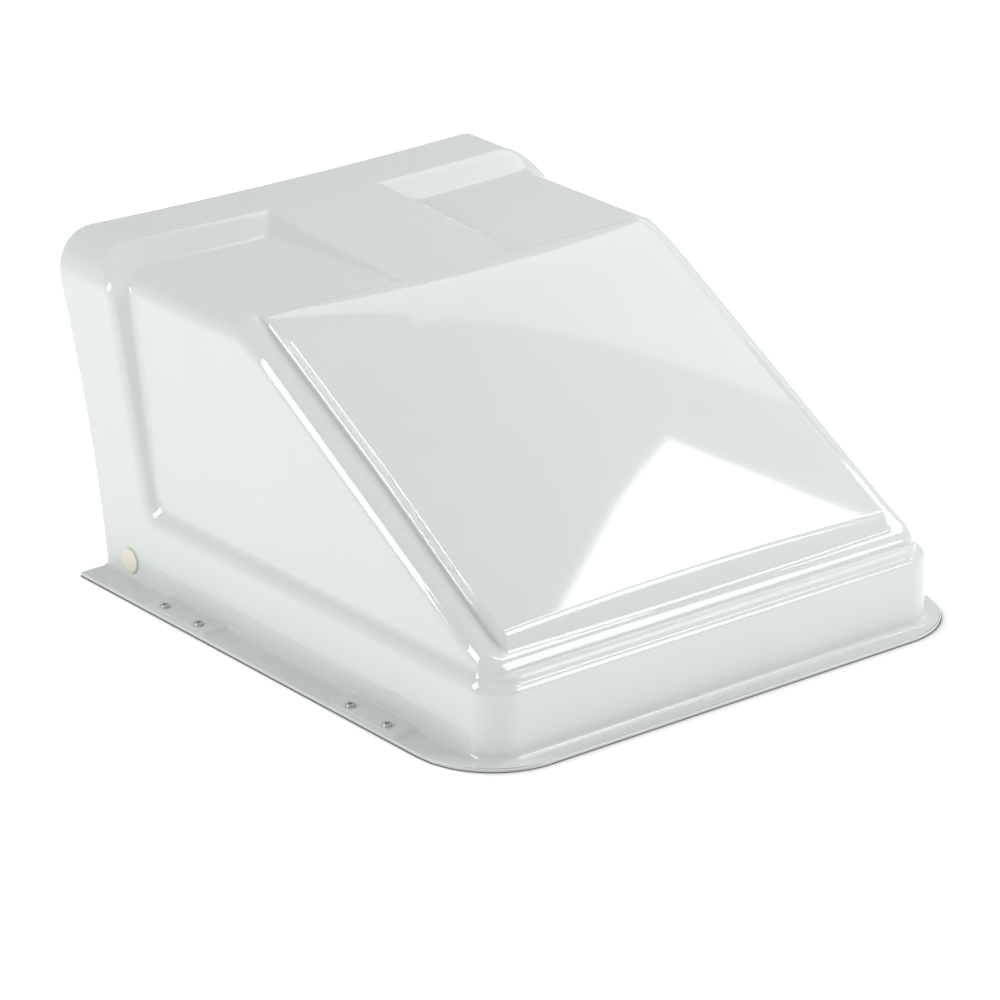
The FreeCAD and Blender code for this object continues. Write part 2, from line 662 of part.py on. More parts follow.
def pivot(side):
    """Button, washer and push-on ring at one end of the door's axis."""
    sign = SIDES[side]
    turn = Rotation(AXIS_Y, 90 * float(sign))

    def along(name, radius, start, end):
        """A rod about the pivot axis between two distances from the centre plane."""
        piece = rod(name, radius, f"({end}) - ({start})", ("0", "0", "0"), turn)
        for letter, part in zip("xyz", (f"{sign} * ({start})", "Dims.pivot_back", "Dims.pivot_up")):
            piece.setExpression(f"Placement.Base.{letter}", part)
        return piece

    inner_end = "Dims.bay_half - 5"
    shaft = along(f"pivot_shaft_{side}", "Dims.pivot_radius", inner_end, "Dims.wall_half")
    head = along(
        f"pivot_head_{side}", "Dims.button_radius", "Dims.wall_half", "Dims.wall_half + Dims.button_thick"
    )
    outer_x = amount(f"{sign} * (Dims.wall_half + Dims.button_thick)")
    head = rounded(
        f"pivot_head_rounded_{side}", head, "Dims.button_round",
        lambda edge: edge.Closed and abs(edge.CenterOfMass.x - outer_x) < 0.01,
    )
    finish(f"pivot_button_{side}", combine("MultiFuse", f"pivot_button_solid_{side}", [shaft, head]))

    bore = along(f"washer_bore_{side}", "Dims.pivot_radius + Dims.running_gap * 2", inner_end, "Dims.wall_half")
    disc = along(
        f"washer_disc_{side}", "Dims.washer_radius",
        "Dims.door_half + Dims.fit_gap", "Dims.wall_half - Dims.skin - Dims.running_gap",
    )
    finish(f"pivot_washer_{side}", cut(f"washer_{side}", disc, bore))

    ring_out = "Dims.bay_half - Dims.fit_gap"
    ring = along(f"ring_disc_{side}", "Dims.ring_radius", f"{ring_out} - Dims.ring_thick", ring_out)
    bore = along(f"ring_bore_{side}", "Dims.pivot_radius + Dims.running_gap / 2", inner_end, "Dims.wall_half")
    finish(f"pivot_retainer_{side}", cut(f"ring_{side}", ring, bore))


# ---------------------------------------------------------------- louvre door

DOOR_IN = "-Dims.door_deep / 2"
DOOR_OUT = "Dims.door_deep / 2"
SEAT = "-Dims.door_deep / 2 + Dims.rebate_deep"
ROOT = "1"  # how far ribs and louvres run into the frame round them
BLADE_BACK = "0.5"  # louvres stop this far behind the screen


def retainer_screw_places():
    """(x, z) expressions of the screws that hold the screen's frame, in the door's frame."""
    side_x = "Dims.bay_half + Dims.rebate / 2"
    places = []
    for sign in SIDES.values():
        for step in range(4):
            up = f"Dims.bay_low + Dims.retainer_first + {step} * Dims.retainer_pitch"
            places.append((f"{sign} * ({side_x})", up))
    for z in ("Dims.bay_low - Dims.rebate / 2", "Dims.bay_high + Dims.rebate / 2"):
        for column in ("-1", "0", "1"):
            places.append((f"{column} * Dims.retainer_column", z))
    return places


def bay(name, grow, front, rear):
    """A box over the louvred opening, grown by an expression on all four sides."""
    return block(
        name,
        (f"-(Dims.bay_half + {grow})", front, f"Dims.bay_low - ({grow})"),
        (f"Dims.bay_half + {grow}", rear, f"Dims.bay_high + {grow}"),
    )


def louvre_grille():
    """The door moulding: a frame with upright ribs and sloping louvres in one piece."""
    plate = block(
        "door_plate",
        ("-Dims.door_half", DOOR_IN, "Dims.door_low"),
        ("Dims.door_half", DOOR_OUT, "Dims.door_high"),
    )
    door_top = size("door_high")
    plate = rounded(
        "door_plate_rounded", plate, "Dims.door_round",
        lambda edge: runs_along(edge, AXIS_Y) and abs(edge.Vertexes[0].Z - door_top) < 0.01,
    )
    opening = combine("MultiFuse", "door_opening", [
        bay("door_through", "0", f"-{PAST}", PAST),
        bay("door_rebate", "Dims.rebate", f"-{PAST}", SEAT),
    ])
    frame = cut("door_frame", plate, opening)

    bars = []
    for side, sign in SIDES.items():
        middle = f"{sign} * Dims.mullion_at"
        bars.append(block(
            f"mullion_{side}",
            (f"{middle} - Dims.mullion_wide / 2", SEAT, f"Dims.bay_low - {ROOT}"),
            (f"{middle} + Dims.mullion_wide / 2", f"{DOOR_OUT} - 1", f"Dims.bay_high + {ROOT}"),
        ))
    for number in range(int(size("blade_count"))):
        low = f"Dims.bay_low + {number} * Dims.blade_pitch + Dims.blade_first"
        bars.append(prism(
            f"blade_{number}", "YZ",
            [
                (DOOR_OUT, low),
                (f"{SEAT} + {BLADE_BACK}", f"{low} + Dims.blade_fall"),
                (f"{SEAT} + {BLADE_BACK}", f"{low} + Dims.blade_fall + Dims.blade_thick"),
                (DOOR_OUT, f"{low} + Dims.blade_thick"),
            ],
            f"Dims.bay_half + {ROOT}", f"Dims.bay_half + {ROOT}",
        ))
    solid = combine("MultiFuse", "door_solid", [frame] + bars)

    holes = []
    for side, sign in SIDES.items():
        pocket_in = f"{sign} * (Dims.bay_half - Dims.pocket_deep)"
        ends = sorted((pocket_in, f"{sign} * (Dims.door_half + {PAST})"), key=amount)
        holes.append(rod(
            f"door_pivot_bore_{side}", "Dims.pivot_radius + Dims.running_gap", f"({ends[1]}) - ({ends[0]})",
            (ends[0], "0", "0"), ALONG_X,
        ))
        pocket = sorted((pocket_in, f"{sign} * Dims.bay_half"), key=amount)
        pocket_half = "Dims.ring_radius + Dims.pocket_gap"
        holes.append(block(
            f"ring_pocket_{side}",
            (pocket[0], f"-{PAST}", f"-({pocket_half})"),
            (pocket[1], pocket_half, f"Dims.bay_low + {ROOT}"),
        ))
        holes.append(rod(
            f"latch_bore_{side}", "Dims.pivot_radius + Dims.running_gap", f"{PAST} * 2",
            (f"{sign} * Dims.latch_at", f"-{PAST}", "Dims.latch_up"), ALONG_Y,
        ))
    for number, (x, z) in enumerate(retainer_screw_places()):
        holes.append(rod(
            f"retainer_bore_{number}", "Dims.tapper_radius + Dims.running_gap", "Dims.door_deep",
            (x, f"{DOOR_IN} - 2", z), ALONG_Y,
        ))
    drilled = cut("door_drilled", solid, combine("MultiFuse", "door_holes", holes))
    finish("louvre_grille", drilled, HINGE_LINE)


def screen_and_retainer():
    """The insect screen in its seat and the thin frame that clamps it."""
    def holes(name):
        return combine("MultiFuse", name, [
            rod(
                f"{name}_{number}", "Dims.tapper_radius + Dims.running_gap * 3", f"{PAST} * 2",
                (x, f"-{PAST}", z), ALONG_Y,
            )
            for number, (x, z) in enumerate(retainer_screw_places())
        ])

    mesh_in = f"{SEAT} - Dims.mesh_thick"
    lap = "Dims.rebate - Dims.rest_gap"
    sheet = bay("screen_sheet", lap, mesh_in, SEAT)
    finish("insect_screen", cut("screen_punched", sheet, holes("screen_holes")), HINGE_LINE)

    ring = cut(
        "retainer_ring",
        bay("retainer_plate", lap, DOOR_IN, mesh_in),
        bay("retainer_window", "-Dims.retainer_lap", f"-{PAST}", PAST),
    )
    finish("screen_retainer", cut("retainer_punched", ring, holes("retainer_holes")), HINGE_LINE)

    screws = [
        pan_screw(
            f"retainer_screw_{number}", "Dims.tapper_radius", "Dims.tapper_long",
            "Dims.tapper_head", "Dims.tapper_head_thick",
            (x, f"{DOOR_IN} + Dims.tapper_long", z), Rotation(AXIS_X, 90), slots=False,
        )
        for number, (x, z) in enumerate(retainer_screw_places())
    ]
    group = doc.addObject("Part::Compound", "retainer_screw_group")
    group.Links = screws
    finish("retainer_screws", group, HINGE_LINE)


# ---------------------------------------------------------------- latches

def latch(side):
    """A quarter-turn latch: knob with its shaft, tongue, wave washer and screw. It rests unlocked."""
    sign = SIDES[side]
    centre = (f"{sign} * Dims.latch_at", "Dims.latch_up")
    tongue_out = "-(Dims.door_deep / 2 + Dims.rest_gap + Dims.stop_thick + Dims.tongue_gap)"

    def about(name, radius, start, end):
        return rod(name, radius, f"({end}) - ({start})", (centre[0], start, centre[1]), ALONG_Y)

    cap_foot = f"{DOOR_OUT} + Dims.fit_gap"
    cap_middle = f"{cap_foot} + Dims.cap_thick / 2"
    cap = about(f"knob_cap_{side}", "Dims.knob_radius", cap_foot, f"{cap_foot} + Dims.cap_thick")
    shaft = about(f"knob_shaft_{side}", "Dims.pivot_radius", tongue_out, cap_middle)
    grip_top = f"{DOOR_OUT} + Dims.grip_out"
    grip = block(
        f"knob_grip_{side}",
        (f"{centre[0]} - Dims.grip_half_long", cap_middle, f"{centre[1]} - Dims.grip_half_wide"),
        (f"{centre[0]} + Dims.grip_half_long", grip_top, f"{centre[1]} + Dims.grip_half_wide"),
    )
    grip_out = amount(grip_top)
    grip = rounded(
        f"knob_grip_rounded_{side}", grip, "Dims.grip_half_wide / 2",
        lambda edge: edge.CenterOfMass.y > grip_out - 0.01 or runs_along(edge, AXIS_Y),
    )
    blank = combine("MultiFuse", f"knob_blank_{side}", [cap, shaft, grip])
    bore = about(
        f"knob_bore_{side}", "Dims.m3_radius + Dims.running_gap",
        f"{tongue_out} - 1", f"{tongue_out} + Dims.m3_long",
    )
    finish(f"latch_knob_{side}", cut(f"knob_{side}", blank, bore), HINGE_LINE)

    tongue_in = f"{tongue_out} - Dims.tongue_thick"
    plate = block(
        f"tongue_plate_{side}",
        (f"{centre[0]} - Dims.tongue_half", tongue_in, f"{centre[1]} - Dims.tongue_half"),
        (f"{centre[0]} + Dims.tongue_reach", tongue_out, f"{centre[1]} + Dims.tongue_half"),
    )
    plate = rounded(
        f"tongue_rounded_{side}", plate, "Dims.tongue_half / 2", lambda edge: runs_along(edge, AXIS_Y)
    )
    hole = about(f"tongue_hole_{side}", "Dims.m3_radius + Dims.running_gap * 2", f"-{PAST}", "0")
    finish(f"latch_tongue_{side}", cut(f"tongue_{side}", plate, hole), HINGE_LINE)

    washer = cut(
        f"wave_washer_{side}",
        about(
            f"wave_disc_{side}", "Dims.wave_radius",
            f"{DOOR_IN} - Dims.running_gap * 2 - Dims.fit_gap * 2", f"{DOOR_IN} - Dims.running_gap * 2",
        ),
        about(f"wave_hole_{side}", "Dims.pivot_radius + Dims.running_gap * 2", f"-{PAST}", "0"),
    )
    finish(f"latch_washer_{side}", washer, HINGE_LINE)

    screw = pan_screw(
        f"latch_screw_{side}_m3", "Dims.m3_radius", "Dims.m3_long", "Dims.m3_head", "Dims.m3_head_thick",
        (centre[0], f"{tongue_in} + Dims.m3_long", centre[1]), Rotation(AXIS_X, 90),
    )
    finish(f"latch_screw_{side}", screw, HINGE_LINE)


# ---------------------------------------------------------------- build, check and write

hood_shell()
for side_name in SIDES:
    for place_name in ("front", "rear"):
        bracket(place_name, side_name)
    pivot(side_name)
    latch(side_name)
flange_screws()
louvre_grille()
screen_and_retainer()
doc.recompute()

doc.removeObject("Sums")

for thing in doc.Objects:
    bad = [word for word in ("Invalid", "Error") if word in thing.State]
    if bad:
        raise RuntimeError(f"{thing.Name} is {bad[0].lower()}")
for node, piece in finished.items():
    shape = piece.Shape
    if shape.isNull() or not shape.isValid() or not shape.Solids:
        raise RuntimeError(f"{node} has no valid solid")

os.makedirs("parts", exist_ok=True)
for node, piece in finished.items():
    piece.Shape.exportStep(f"parts/{node}.step")
    box = piece.Shape.BoundBox
    print(
        f"{node:24s} solids {len(piece.Shape.Solids):2d}  volume {piece.Shape.Volume / 1000:9.2f} cm3  "
        f"X {box.XMin:7.1f} {box.XMax:7.1f}  Y {box.YMin:7.1f} {box.YMax:7.1f}  "
        f"Z {box.ZMin:6.1f} {box.ZMax:6.1f}"
    )
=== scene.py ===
"""Looks of the roof vent cover: the hood as a smooth thin shell, a woven insect screen and all materials.

Lengths are millimetres inside the shape functions and are divided by 1000 where a mesh is made.
All points are in the row frame: X across, +Y towards the open mouth, Z up.
"""
import json
import math

import bmesh
import bpy
import numpy as np
from mathutils import Matrix, Vector


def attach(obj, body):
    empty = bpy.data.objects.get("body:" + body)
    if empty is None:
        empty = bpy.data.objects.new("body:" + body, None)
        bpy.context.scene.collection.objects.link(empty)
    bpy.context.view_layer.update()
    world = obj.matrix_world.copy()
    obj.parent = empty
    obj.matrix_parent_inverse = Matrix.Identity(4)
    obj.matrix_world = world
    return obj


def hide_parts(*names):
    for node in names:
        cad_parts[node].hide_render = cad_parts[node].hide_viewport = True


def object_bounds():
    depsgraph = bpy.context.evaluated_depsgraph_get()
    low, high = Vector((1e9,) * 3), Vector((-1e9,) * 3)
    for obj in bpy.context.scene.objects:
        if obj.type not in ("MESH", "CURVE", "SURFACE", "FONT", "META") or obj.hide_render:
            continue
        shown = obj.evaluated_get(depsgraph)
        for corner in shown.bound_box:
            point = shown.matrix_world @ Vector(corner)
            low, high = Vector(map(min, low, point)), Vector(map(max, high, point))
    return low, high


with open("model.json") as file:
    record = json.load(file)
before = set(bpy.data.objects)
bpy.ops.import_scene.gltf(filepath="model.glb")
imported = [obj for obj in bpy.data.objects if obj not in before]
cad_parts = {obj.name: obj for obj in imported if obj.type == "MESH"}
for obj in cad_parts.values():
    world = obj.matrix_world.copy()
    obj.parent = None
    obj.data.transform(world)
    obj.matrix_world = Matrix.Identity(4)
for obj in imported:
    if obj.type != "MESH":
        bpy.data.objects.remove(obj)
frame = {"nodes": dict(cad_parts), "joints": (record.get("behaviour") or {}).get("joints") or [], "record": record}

cad_low, cad_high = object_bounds()
MM = 0.001

# ---------------------------------------------------------------- hood dimensions

SKIN = 3.0
FLANGE_FRONT = -cad_low.y / MM
FLANGE_HALF = cad_high.x / MM
FLANGE_ROUND = 68.0
FLANGE_THICK = 3.0
PAD_CENTRES = (-144.6, 92.8)  # Y of the middles of the flange's pads, which cover the bracket feet
PAD_TOP = 5.5
PAD_ENDS = (37.5, 42.5)  # how far from its middle a pad starts to fall, and is gone
NEST_TOP = 2.62  # depth of the recess under a pad, for the bracket's foot
NEST_ENDS = (34.9, 35.7)
FRONT = FLANGE_FRONT - 16.0  # the flange is 16 mm wide in front of the wall
WALL_HALF = FLANGE_HALF - 26.0
WALL_ROUND = 28.0
LEDGE = 57.8  # height of the wall's top edge in front, where the ledge starts
LEDGE_RISE = 0.37  # rise of the ledge for each millimetre inwards
BAND_RISE = 1.23  # the same along the sides, where the ledge is a steep band
LEDGE_DEEP = 9.0  # how far inwards the ledge rises
STEP_HALF = 209.0
STEP_FRONT = 263.2
STEP_ROUND = 24.0
STEP_TOP = 65.2
BODY_HALF = 210.0  # at the body's foot; the sides lean in by the draft
BODY_FOOT = 66.0
BODY_DRAFT = 0.0278
BODY_FRONT = 256.5
BODY_ROUND = 18.0
ROOF = 248.0
SLOPE = math.tan(math.radians(29.84))
SLOPE_COS = math.cos(math.radians(29.84))
SHOULDER_AT_ORIGIN = 217.0  # height of the shoulders' plane over the origin
PANEL_AT_ORIGIN = 228.0  # the same for the edges of the sloping panel
PANEL_HALF = 181.0
PANEL_FRONT = 241.0
LIP = 249.4  # the panel's rolled top edge
LIP_REAR = 51.0
LIP_BLEND = 14.0  # length over which the strip turns up out of the panel's top
STRIP_HALF = 54.0
STRIP_REAR = 226.0
HOOP_TOP = cad_high.z / MM
HOOP_ROUND = 36.0
HOOP_FOOT = 163.0  # Y of the hoop's front edge at the height HOOP_LOW
HOOP_LOW = 62.0
HOOP_LEAN = 0.2506
HOOP_FACE_LEAN = 0.9  # run of the hoop's front face for each millimetre of its depth
MOUTH_FOOT = 216.3  # Y of the hood's rear edge at the flange
MOUTH_LEAN = 0.134
MOUTH_CURVE = 0.127
MOUTH_HEIGHT = 250.0  # height at which the curve adds its whole amount, MOUTH_CURVE times this


# ---------------------------------------------------------------- the hood's form as a distance function

def clamp(value, low, high):
    return np.minimum(np.maximum(value, low), high)


def smooth(start, end, value):
    """0 before start, 1 after end, with a smooth ramp between them."""
    f = clamp((value - start) / (end - start), 0.0, 1.0)
    return f * f * (3.0 - 2.0 * f)


def both(a, b, radius):
    """Intersection of two distance fields with a rounded convex edge."""
    rounded = np.hypot(np.maximum(a + radius, 0.0), np.maximum(b + radius, 0.0))
    return np.minimum(np.maximum(a, b), -radius) + rounded


def either(a, b, radius):
    """Union of two distance fields with a rounded concave crease."""
    rounded = np.hypot(np.maximum(radius - a, 0.0), np.maximum(radius - b, 0.0))
    return np.maximum(np.minimum(a, b), radius) - rounded


def corner(a, b, radius):
    """Distance to a corner of two faces at right angles, rounded by radius."""
    a, b = a + radius, b + radius
    return np.minimum(np.maximum(a, b), 0.0) + np.hypot(np.maximum(a, 0.0), np.maximum(b, 0.0)) - radius


def hoop_edge(x, z):
    """Y of the hoop's front edge on its outer face."""
    bow = 8.0 * (1.0 - (x / 200.0) ** 2) * smooth(225.0, 250.0, z)
    return HOOP_FOOT + HOOP_LEAN * (z - HOOP_LOW) + 14.0 * smooth(232.0, 261.0, z) - bow


def mouth_edge(x, z):
    """Y of the hood's rear edge."""
    up = z - FLANGE_THICK
    straight = MOUTH_FOOT + MOUTH_LEAN * up
    bow = 10.0 * (1.0 - (x / WALL_HALF) ** 2) * smooth(200.0, MOUTH_HEIGHT, z)
    return straight + MOUTH_CURVE * up * up / MOUTH_HEIGHT - bow - 1.9 * smooth(200.0, 261.0, z)


def wall_and_hoop(x, y, z):
    """The hoop, and the upright wall with a narrow ledge on top in front and a steep band along the sides."""
    wall_face = corner(x - WALL_HALF, -y - FRONT, WALL_ROUND)
    arch = corner(x - WALL_HALF, z - HOOP_TOP, HOOP_ROUND)
    sideways = smooth(-262.0, -236.0, y)
    rise = LEDGE_RISE + (BAND_RISE - LEDGE_RISE) * sideways
    ledge = (z - (LEDGE - sideways) + rise * np.maximum(wall_face, -LEDGE_DEEP)) / np.hypot(1.0, rise)
    hoop_face = (hoop_edge(x, z) + HOOP_FACE_LEAN * arch - y) / math.hypot(1.0, HOOP_FACE_LEAN)
    return both(np.maximum(wall_face, arch), either(ledge, hoop_face, 9.0), 4.0)


def body_and_step(x, y, z):
    """The body with its shoulders and flat roof, and the low step round its foot."""
    step = both(corner(x - STEP_HALF, -y - STEP_FRONT, STEP_ROUND), z - STEP_TOP, 3.4)
    shoulder = (z - SHOULDER_AT_ORIGIN - SLOPE * y) * SLOPE_COS
    top = both(shoulder, z - ROOF, 6.0)
    edge_round = 8.5 + 4.0 * smooth(-252.0, -225.0, y) + 7.0 * smooth(20.0, 70.0, y)
    side_half = BODY_HALF - BODY_DRAFT * (z - BODY_FOOT)
    body = both(corner(x - side_half, -y - BODY_FRONT, BODY_ROUND), top, edge_round)
    return either(body, step, 1.0)


def panel_and_strip(x, y, z):
    """The crowned sloping panel with its rolled top edge, and the strip that carries it on to the hoop."""
    crown = 4.0 + 5.0 * smooth(-260.0, 60.0, y)
    panel_height = PANEL_AT_ORIGIN + SLOPE * y + crown * (1.0 - (x / PANEL_HALF) ** 2)
    past_lip = (y - LIP_REAR + np.hypot(y - LIP_REAR, LIP_BLEND)) / 2.0
    part = clamp(past_lip / (STRIP_REAR - LIP_REAR), 0.0, 1.0)
    roof_line = LIP + (HOOP_TOP - LIP) * (1.125 * part - 0.125 * part ** 9)
    cover = both((z - panel_height) * SLOPE_COS, z - roof_line, 12.0)

    depth = clamp(panel_height - z, 0.0, 16.0)
    wider = 4.0 * smooth(-80.0, -230.0, y)  # the panel widens a little towards its front
    panel_side = (x - PANEL_HALF - wider - 0.2 * depth) * 0.98
    panel_side = both(panel_side, (y - LIP_REAR - 2.0 * clamp(LIP - z, 0.0, 3.0)) * 0.45, 1.0)
    strip_side = (x - STRIP_HALF - 1.5 * clamp(roof_line - z, 0.0, 14.0)) * 0.55
    strip_side = np.maximum(strip_side, y - STRIP_REAR)
    cover = both(cover, np.minimum(panel_side, strip_side), 1.6)
    return both(cover, (-y - PANEL_FRONT - 0.35 * depth) * 0.94, 2.5)


def hood(p):
    """Signed distance, roughly, from points p to the hood's outer surface: negative inside."""
    x, y, z = np.abs(p[..., 0]), p[..., 1], p[..., 2]
    under_cover = either(body_and_step(x, y, z), wall_and_hoop(x, y, z), 2.0)
    crease = clamp(HOOP_TOP - 1.0 - z, 0.02, 2.0)  # fades where the strip runs level into the hoop's top
    return either(under_cover, panel_and_strip(x, y, z), crease)


# ---------------------------------------------------------------- rays from a core out to the hood's surface

CORE_HALF = WALL_HALF - WALL_ROUND
CORE_FRONT = -(FRONT - WALL_ROUND)
FOOT = 8.0  # height at which the rays' surface ends and the skirt starts
LEDGE_FOOT = 56.0
LEDGE_REACH = 15.0  # height of the stretch of fine rows over the ledge's foot
HIGH_ROWS = 13


def core_top(y):
    return np.minimum(SHOULDER_AT_ORIGIN + SLOPE * y, ROOF) - 22.0


def spaced(stops):
    """Values from a list of (end, step) pairs after a first value, evenly spaced within each stretch."""
    values = [stops[0]]
    for end, step in stops[1:]:
        count = max(1, round(abs(end - values[-1]) / step))
        start = values[-1]
        values += [start + (end - start) * n / count for n in range(1, count + 1)]
    return values


def fan(count):
    """Tangents of directions from 45 degrees down towards straight ahead, which is left out."""
    return [math.tan(math.radians(45.0) * (1.0 - n / count)) for n in range(count)]


ROOF_REAR = 284.0  # the roof place of the mouth's edge


def y_lines():
    """Lines across the hood from front to rear as (y, forward tilt): y is the place on the roof."""
    lines = [(CORE_FRONT, tilt) for tilt in fan(18)]
    places = spaced([
        CORE_FRONT, (CORE_FRONT + 5.0, 1.0), (LIP_REAR - 25.0, 9.5), (LIP_REAR + 7.0, 2.0),
        (STRIP_REAR - 26.0, 9.5), (STRIP_REAR + 6.0, 1.3), (ROOF_REAR, 6.0),
    ])
    for middle in PAD_CENTRES:
        for away in NEST_ENDS + PAD_ENDS:
            places += [roof_place(middle - away), roof_place(middle + away)]
    return lines + [(y, 0.0) for y in sorted(places)]


def follow(y, x, z):
    """Y at (x, z) of the line that crosses the roof at y: it follows the hoop's edge and the mouth's."""
    edge = hoop_edge(x, z)
    on_roof = (60.0, 206.0, 219.0, ROOF_REAR)
    here = (60.0 + 0.0 * edge, edge - 9.0, edge + 1.0, mouth_edge(x, z))
    result = np.array(y, dtype=float) + 0.0 * edge
    for (low, high), (low_here, high_here) in zip(zip(on_roof, on_roof[1:]), zip(here, here[1:])):
        inside = (y > low) & (y <= high)
        result = np.where(inside, low_here + (y - low) / (high - low) * (high_here - low_here), result)
    return result


def roof_place(foot_y):
    """The place on the roof of the line that meets the flange at foot_y."""
    low, high = -300.0, ROOF_REAR
    for _ in range(50):
        middle = (low + high) / 2
        if follow(np.array(middle), np.array(WALL_HALF), np.array(FOOT)) < foot_y:
            low = middle
        else:
            high = middle
    return low


def x_lines():
    """Lines along the hood as (x, sideways tilt), from -X to +X."""
    half = [(CORE_HALF, tilt) for tilt in fan(12)]
    places = spaced([
        CORE_HALF, (PANEL_HALF - 3.0, 0.9), (STRIP_HALF + 23.0, 8.5), (STRIP_HALF - 4.0, 1.1), (0.0, 7.0),
    ])
    half += [(x, 0.0) for x in places]
    return [(-x, -tilt) for x, tilt in half[:-1]] + half[::-1]


def rows():
    """Rows up the walls as (kind, amount, upward tilt)."""
    low = [("low", z, 0.0) for z in spaced([FOOT, (50.0, 14.0), (LEDGE_FOOT, 1.2)])]
    ledge = [("ledge", rise, 0.0) for rise in spaced([0.9, (LEDGE_REACH, 0.9)])]
    high = [("high", part / HIGH_ROWS, 0.0) for part in range(1, HIGH_ROWS + 1)]
    return low + ledge + high + [("high", 1.0, tilt) for tilt in fan(12)[::-1]]


def row_height(kind, amount, y):
    """Height of a row's start on the core, at y."""
    top = core_top(y)
    room = clamp((top - LEDGE_FOOT) / (2.0 * LEDGE_REACH), 0.0, 1.0)
    ledge_top = LEDGE_FOOT + LEDGE_REACH * room * np.minimum(1.0, (top - LEDGE_FOOT) / LEDGE_REACH)
    if kind == "low":
        return amount + 0.0 * y
    if kind == "ledge":
        return LEDGE_FOOT + (ledge_top - LEDGE_FOOT) * amount / LEDGE_REACH
    return ledge_top + (top - ledge_top) * amount


def chart(name):
    """Start points, directions and roof places of the rays of one face of the core, as grids."""
    if name == "top":
        ys, xs = y_lines(), x_lines()
        y = np.array([[line[0]] * len(xs) for line in ys])
        x = np.array([[line[0] for line in xs]] * len(ys))
        z = core_top(y)
        tilt_y = np.array([[line[1]] * len(xs) for line in ys])
        tilt_x = np.array([[line[1] for line in xs]] * len(ys))
        way = np.stack([tilt_x, -tilt_y, np.ones_like(x)], -1)
    elif name == "front":
        xs, zs = x_lines(), rows()
        x = np.array([[line[0]] * len(zs) for line in xs])
        y = np.full_like(x, CORE_FRONT)
        heights = [float(row_height(kind, amount, np.array(CORE_FRONT))) for kind, amount, _ in zs]
        z = np.array([heights] * len(xs))
        tilt_x = np.array([[line[1]] * len(zs) for line in xs])
        tilt_z = np.array([[row[2] for row in zs]] * len(xs))
        way = np.stack([tilt_x, -np.ones_like(x), tilt_z], -1)
    else:
        sign = -1.0 if name == "left" else 1.0
        ys, zs = y_lines(), rows()
        y = np.array([[line[0]] * len(zs) for line in ys])
        x = np.full_like(y, sign * CORE_HALF)
        z = np.stack([row_height(kind, amount, y[:, 0]) for kind, amount, _ in zs], -1)
        tilt_y = np.array([[line[1]] * len(zs) for line in ys])
        tilt_z = np.array([[row[2] for row in zs]] * len(ys))
        way = np.stack([np.full_like(y, sign), -tilt_y, tilt_z], -1)
    start = np.stack([x, y, z], -1)
    return start, way / np.linalg.norm(way, axis=-1, keepdims=True)


def reach(start, way, level):
    """Points where rays cross the level of the hood's distance function."""
    near, far = np.zeros(start.shape[:-1]), np.full(start.shape[:-1], 90.0)
    for _ in range(34):
        middle = (near + far) / 2
        inside = hood(start + way * middle[..., None]) < level
        near, far = np.where(inside, middle, near), np.where(inside, far, middle)
    return start + way * near[..., None]


def slope_of(points):
    """Unit outward normals of the hood's distance function."""
    step = 0.04
    parts = []
    for axis in range(3):
        shift = np.zeros(3)
        shift[axis] = step
        parts.append(hood(points + shift) - hood(points - shift))
    normal = np.stack(parts, -1)
    return normal / np.linalg.norm(normal, axis=-1, keepdims=True)


# ---------------------------------------------------------------- hood mesh

def near_a_pad(y, full, gone):
    """1 where y is within `full` of the middle of a flange pad, falling to 0 where it is `gone` away."""
    return max(float(clamp((gone - abs(y - middle)) / (gone - full), 0.0, 1.0)) for middle in PAD_CENTRES)


def flange_edge(x, y):
    """The point on the flange's outer edge that belongs to the point (x, y) at the wall's foot."""
    side, round_x, round_y = math.copysign(1.0, x), FLANGE_HALF - FLANGE_ROUND, -(FLANGE_FRONT - FLANGE_ROUND)
    if y > round_y:
        return side * FLANGE_HALF, y
    if abs(x) < round_x:
        return x, -FLANGE_FRONT
    away = math.hypot(abs(x) - round_x, y - round_y)
    return (
        side * (round_x + FLANGE_ROUND * (abs(x) - round_x) / away),
        round_y + FLANGE_ROUND * (y - round_y) / away,
    )


SKIRT_FILLET = (22.5, 45.0, 67.5, 90.0)  # angles round the fillet between wall and flange
SKIRT_ACROSS = (0.3, 0.6, 0.79, 0.81, 0.86, 0.885, 0.93)  # shares of the flange's width past the fillet


